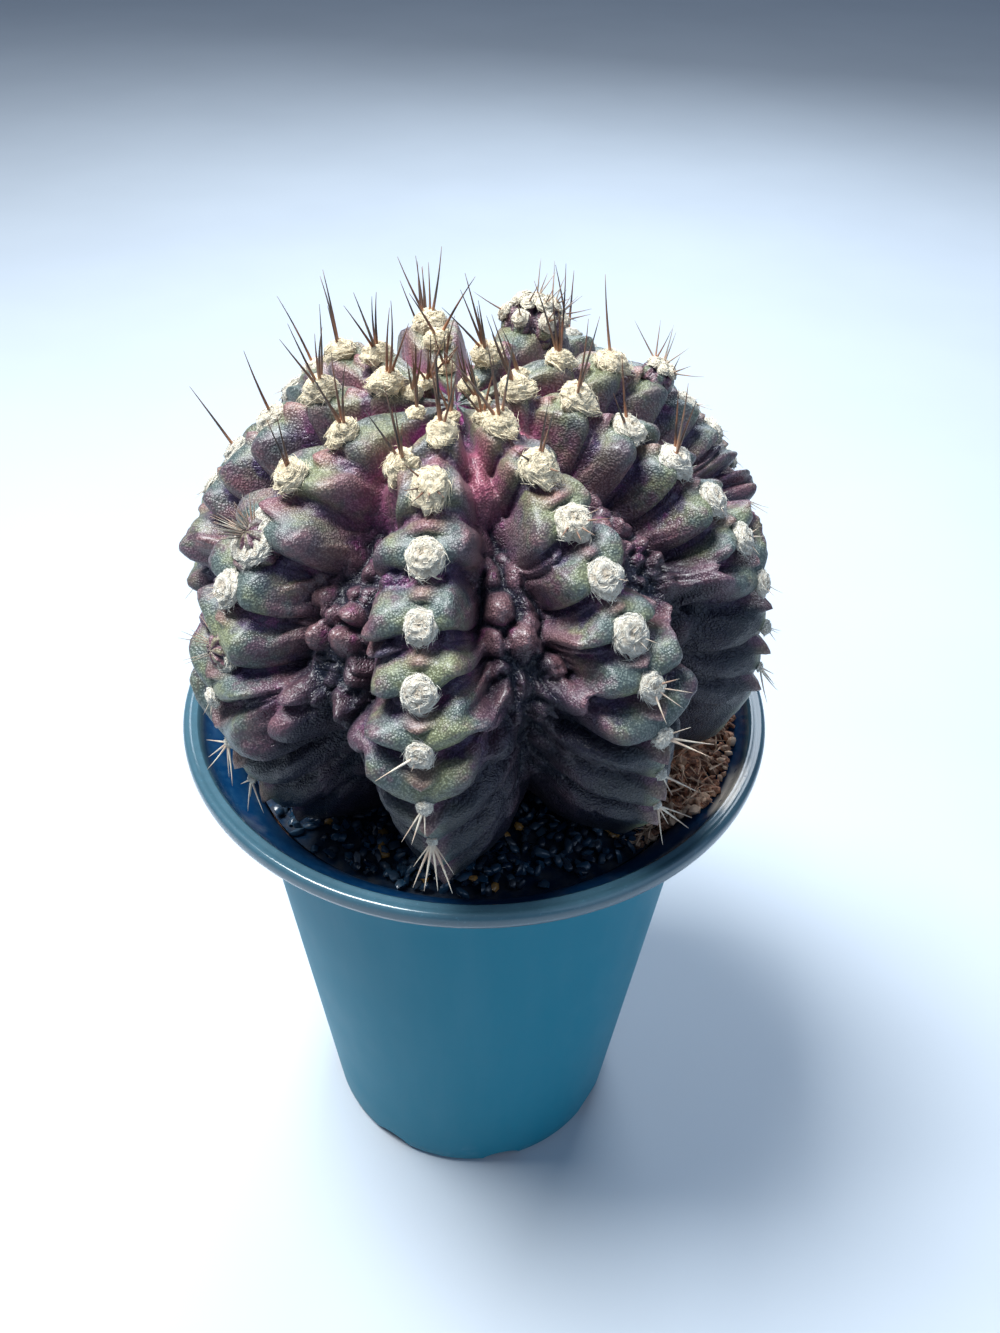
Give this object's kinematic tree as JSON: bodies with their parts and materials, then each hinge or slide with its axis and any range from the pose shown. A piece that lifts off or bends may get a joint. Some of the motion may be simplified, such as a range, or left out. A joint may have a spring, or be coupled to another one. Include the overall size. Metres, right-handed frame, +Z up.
{
  "type": "potted moon cactus",
  "caption": "Globular ribbed cactus with woolly areoles, spines and small offsets, standing in grit in a tapered round nursery pot with a rolled lip.",
  "frame": {"origin": "middle of the pot's flat underside, on the surface that it stands on", "axes": "+Z up along the pot's axis; the side shown in the picture faces -Y, and +X is to its right"},
  "size_m": [0.0813, 0.0846, 0.1435],
  "materials": {
    "pot_plastic": "satin moulded blue-grey plastic, shinier on the rolled lip",
    "potting_mix": "rough brown peat and fibre crumbs",
    "grit": "dark rounded grit with a faint gloss, a few tan grains",
    "cactus_skin": "velvety grey-green and purple-brown skin, with white to cream wool and dark or bone spines"
  },
  "bodies": {
    "root": {"pot": "pot_plastic", "potting_mix": "potting_mix", "grit": "grit", "cactus": "cactus_skin"}
  },
  "joints": []
}
